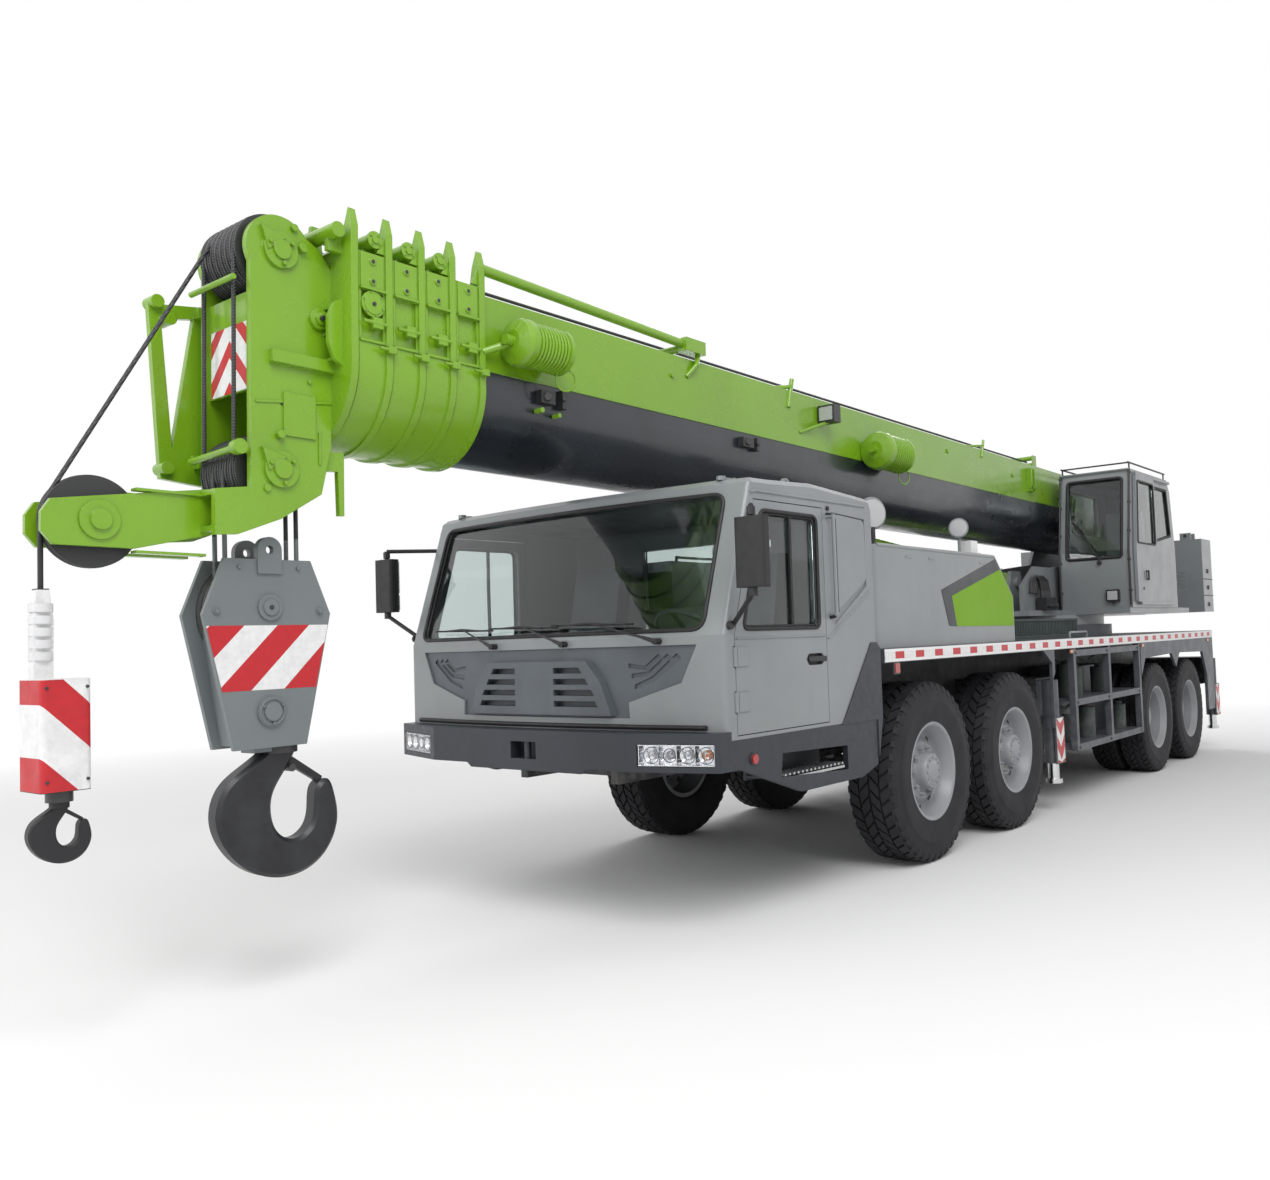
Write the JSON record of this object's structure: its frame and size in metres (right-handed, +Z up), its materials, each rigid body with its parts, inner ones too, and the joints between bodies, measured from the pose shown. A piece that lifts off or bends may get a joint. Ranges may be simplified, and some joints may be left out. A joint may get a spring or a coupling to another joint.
{
  "type": "four-axle mobile truck crane",
  "caption": "Telescopic truck crane with slewing superstructure, luffing five-section boom, two hooks, steered and driven wheels, outriggers and two cabs.",
  "frame": {"origin": "on the floor, under the middle of the whole crane in its travel position", "axes": "+X forward, +Y the crane's left, +Z up"},
  "size_m": [14.4661, 3.39, 3.8347],
  "materials": {
    "tyre": "matt moulded rubber",
    "wheel_silver": "silver paint",
    "chassis_black": "semi-gloss black paint",
    "chassis_grey": "satin grey paint",
    "cab_silver": "semi-gloss silver-grey paint",
    "dark_plastic": "fine-grain moulded plastic",
    "glass": "clear glass",
    "steel": "ground and plated rod",
    "dark_steel": "black paint",
    "boom_green": "gloss lime green paint",
    "hook_grey": "satin grey paint"
  },
  "bodies": {
    "carrier": {"chassis_frame": "chassis_black", "carrier_deck": "chassis_grey", "cab_shell": "cab_silver", "cab_mask": "dark_plastic", "front_bumper": "dark_plastic", "head_lamps": "glass", "cab_glass": "glass", "cab_interior": "dark_plastic", "cab_mirrors": "dark_plastic", "engine_hood": "cab_silver", "engine_block": "chassis_black", "axle_beams": "chassis_black", "side_tanks": "chassis_grey"},
    "wheel_1_left": {"tyre_1_left": "tyre", "rim_1_left": "wheel_silver"},
    "knuckle_1_left": {"knuckle_1_left": "chassis_black"},
    "wheel_1_right": {"tyre_1_right": "tyre", "rim_1_right": "wheel_silver"},
    "knuckle_1_right": {"knuckle_1_right": "chassis_black"},
    "wheel_2_left": {"tyre_2_left": "tyre", "rim_2_left": "wheel_silver"},
    "knuckle_2_left": {"knuckle_2_left": "chassis_black"},
    "wheel_2_right": {"tyre_2_right": "tyre", "rim_2_right": "wheel_silver"},
    "knuckle_2_right": {"knuckle_2_right": "chassis_black"},
    "wheel_3_left": {"tyre_3_left": "tyre", "rim_3_left": "wheel_silver"},
    "wheel_3_right": {"tyre_3_right": "tyre", "rim_3_right": "wheel_silver"},
    "wheel_4_left": {"tyre_4_left": "tyre", "rim_4_left": "wheel_silver"},
    "wheel_4_right": {"tyre_4_right": "tyre", "rim_4_right": "wheel_silver"},
    "beam_front_left": {"outrigger_beam_front_left": "chassis_grey"},
    "jack_front_left": {"outrigger_jack_front_left": "steel"},
    "beam_front_right": {"outrigger_beam_front_right": "chassis_grey"},
    "jack_front_right": {"outrigger_jack_front_right": "steel"},
    "beam_rear_left": {"outrigger_beam_rear_left": "chassis_grey"},
    "jack_rear_left": {"outrigger_jack_rear_left": "steel"},
    "beam_rear_right": {"outrigger_beam_rear_right": "chassis_grey"},
    "jack_rear_right": {"outrigger_jack_rear_right": "steel"},
    "door_left": {"cab_door_left": "cab_silver"},
    "door_right": {"cab_door_right": "cab_silver"},
    "superstructure": {"turntable": "cab_silver", "hoist_winches": "dark_steel", "counterweight": "cab_silver", "operator_cab_shell": "cab_silver", "operator_cab_glass": "glass"},
    "operator_door": {"operator_cab_door": "cab_silver"},
    "boom_base": {"boom_base": "boom_green"},
    "boom_section_2": {"boom_section_2": "boom_green"},
    "boom_section_3": {"boom_section_3": "boom_green"},
    "boom_section_4": {"boom_section_4": "boom_green"},
    "boom_head": {"boom_head": "boom_green", "head_sheaves": "dark_steel"},
    "luff_barrel": {"luff_barrel": "boom_green"},
    "luff_rod": {"luff_rod": "steel"},
    "main_hook": {"main_hook_block": "hook_grey"},
    "aux_hook": {"aux_hook": "hook_grey"}
  },
  "joints": [
    {"name": "steer_1_left", "type": "hinge", "parent": "carrier", "child": "knuckle_1_left", "pos_m": [1.749, 0.88, 0.65], "axis": [0, 0, 1], "range_deg": [-30, 30]},
    {"name": "roll_1_left", "type": "hinge", "parent": "knuckle_1_left", "child": "wheel_1_left", "pos_m": [1.749, 1.1525, 0.65], "axis": [0, 1, 0], "continuous": true},
    {"name": "steer_1_right", "type": "hinge", "parent": "carrier", "child": "knuckle_1_right", "pos_m": [1.749, -0.88, 0.65], "axis": [0, 0, 1], "range_deg": [-30, 30]},
    {"name": "roll_1_right", "type": "hinge", "parent": "knuckle_1_right", "child": "wheel_1_right", "pos_m": [1.749, -1.1525, 0.65], "axis": [0, 1, 0], "continuous": true},
    {"name": "steer_2_left", "type": "hinge", "parent": "carrier", "child": "knuckle_2_left", "pos_m": [0.231, 0.88, 0.65], "axis": [0, 0, 1], "range_deg": [-22.5, 22.5]},
    {"name": "roll_2_left", "type": "hinge", "parent": "knuckle_2_left", "child": "wheel_2_left", "pos_m": [0.231, 1.1525, 0.65], "axis": [0, 1, 0], "continuous": true},
    {"name": "steer_2_right", "type": "hinge", "parent": "carrier", "child": "knuckle_2_right", "pos_m": [0.231, -0.88, 0.65], "axis": [0, 0, 1], "range_deg": [-22.5, 22.5]},
    {"name": "roll_2_right", "type": "hinge", "parent": "knuckle_2_right", "child": "wheel_2_right", "pos_m": [0.231, -1.1525, 0.65], "axis": [0, 1, 0], "continuous": true},
    {"name": "roll_3_left", "type": "hinge", "parent": "carrier", "child": "wheel_3_left", "pos_m": [-3.873, 1.045, 0.61], "axis": [0, 1, 0], "continuous": true},
    {"name": "roll_3_right", "type": "hinge", "parent": "carrier", "child": "wheel_3_right", "pos_m": [-3.873, -1.045, 0.61], "axis": [0, 1, 0], "continuous": true},
    {"name": "roll_4_left", "type": "hinge", "parent": "carrier", "child": "wheel_4_left", "pos_m": [-5.245, 1.045, 0.61], "axis": [0, 1, 0], "continuous": true},
    {"name": "roll_4_right", "type": "hinge", "parent": "carrier", "child": "wheel_4_right", "pos_m": [-5.245, -1.045, 0.61], "axis": [0, 1, 0], "continuous": true},
    {"name": "extend_front_left", "type": "slide", "parent": "carrier", "child": "beam_front_left", "axis": [0, 1, 0], "range_m": [0, 2.1]},
    {"name": "lower_front_left", "type": "slide", "parent": "beam_front_left", "child": "jack_front_left", "axis": [0, 0, -1], "range_m": [0, 0.6]},
    {"name": "extend_front_right", "type": "slide", "parent": "carrier", "child": "beam_front_right", "axis": [0, -1, 0], "range_m": [0, 2.1]},
    {"name": "lower_front_right", "type": "slide", "parent": "beam_front_right", "child": "jack_front_right", "axis": [0, 0, -1], "range_m": [0, 0.6]},
    {"name": "extend_rear_left", "type": "slide", "parent": "carrier", "child": "beam_rear_left", "axis": [0, 1, 0], "range_m": [0, 2.1]},
    {"name": "lower_rear_left", "type": "slide", "parent": "beam_rear_left", "child": "jack_rear_left", "axis": [0, 0, -1], "range_m": [0, 0.6]},
    {"name": "extend_rear_right", "type": "slide", "parent": "carrier", "child": "beam_rear_right", "axis": [0, -1, 0], "range_m": [0, 2.1]},
    {"name": "lower_rear_right", "type": "slide", "parent": "beam_rear_right", "child": "jack_rear_right", "axis": [0, 0, -1], "range_m": [0, 0.6]},
    {"name": "door_left_swing", "type": "hinge", "parent": "carrier", "child": "door_left", "pos_m": [4.18, 1.375, 1.7], "axis": [0, 0, -1], "range_deg": [0, 70]},
    {"name": "door_right_swing", "type": "hinge", "parent": "carrier", "child": "door_right", "pos_m": [4.18, -1.375, 1.7], "axis": [0, 0, 1], "range_deg": [0, 70]},
    {"name": "slew", "type": "hinge", "parent": "carrier", "child": "superstructure", "pos_m": [-3.7, 0, 1.68], "axis": [0, 0, 1], "continuous": true},
    {"name": "operator_door_slide", "type": "slide", "parent": "superstructure", "child": "operator_door", "axis": [-1, 0, 0], "range_m": [0, 0.6]},
    {"name": "luff", "type": "hinge", "parent": "superstructure", "child": "boom_base", "pos_m": [-5.45, 0, 2.85], "axis": [0, -1, 0], "range_deg": [0, 80]},
    {"name": "telescope_2", "type": "slide", "parent": "boom_base", "child": "boom_section_2", "axis": [0.9999, 0, 0.0122], "range_m": [0, 8.8]},
    {"name": "telescope_3", "type": "slide", "parent": "boom_section_2", "child": "boom_section_3", "axis": [0.9999, 0, 0.0122], "range_m": [0, 8.8]},
    {"name": "telescope_4", "type": "slide", "parent": "boom_section_3", "child": "boom_section_4", "axis": [0.9999, 0, 0.0122], "range_m": [0, 8.8]},
    {"name": "telescope_5", "type": "slide", "parent": "boom_section_4", "child": "boom_head", "axis": [0.9999, 0, 0.0122], "range_m": [0, 8.8]},
    {"name": "luff_barrel_turn", "type": "hinge", "parent": "superstructure", "child": "luff_barrel", "pos_m": [-2.9, 0, 2.18], "axis": [0, -1, 0], "range_deg": [0, 95.5]},
    {"name": "luff_rod_slide", "type": "slide", "parent": "luff_barrel", "child": "luff_rod", "axis": [0.9973, 0, 0.0734], "range_m": [0, 3.16]},
    {"name": "main_hook_swing", "type": "hinge", "parent": "boom_head", "child": "main_hook", "pos_m": [6.18481, 0, 2.52712], "axis": [0, -1, 0], "range_deg": [-80, 0]},
    {"name": "aux_hook_swing", "type": "hinge", "parent": "boom_head", "child": "aux_hook", "pos_m": [6.94423, 0, 2.25238], "axis": [0, -1, 0], "range_deg": [-80, 0]}
  ],
  "couplings": [
    {"joint": "steer_1_right", "follows": "steer_1_left", "ratio": 1},
    {"joint": "steer_2_left", "follows": "steer_1_left", "ratio": 0.75},
    {"joint": "steer_2_right", "follows": "steer_1_left", "ratio": 0.75},
    {"joint": "telescope_3", "follows": "telescope_2", "ratio": 1},
    {"joint": "telescope_4", "follows": "telescope_2", "ratio": 1},
    {"joint": "telescope_5", "follows": "telescope_2", "ratio": 1},
    {"joint": "luff_barrel_turn", "follows": "luff", "ratio": 1.1692},
    {"joint": "luff_rod_slide", "follows": "luff", "m_per_rad": 2.228},
    {"joint": "main_hook_swing", "follows": "luff", "ratio": -0.9375},
    {"joint": "aux_hook_swing", "follows": "luff", "ratio": -1}
  ]
}
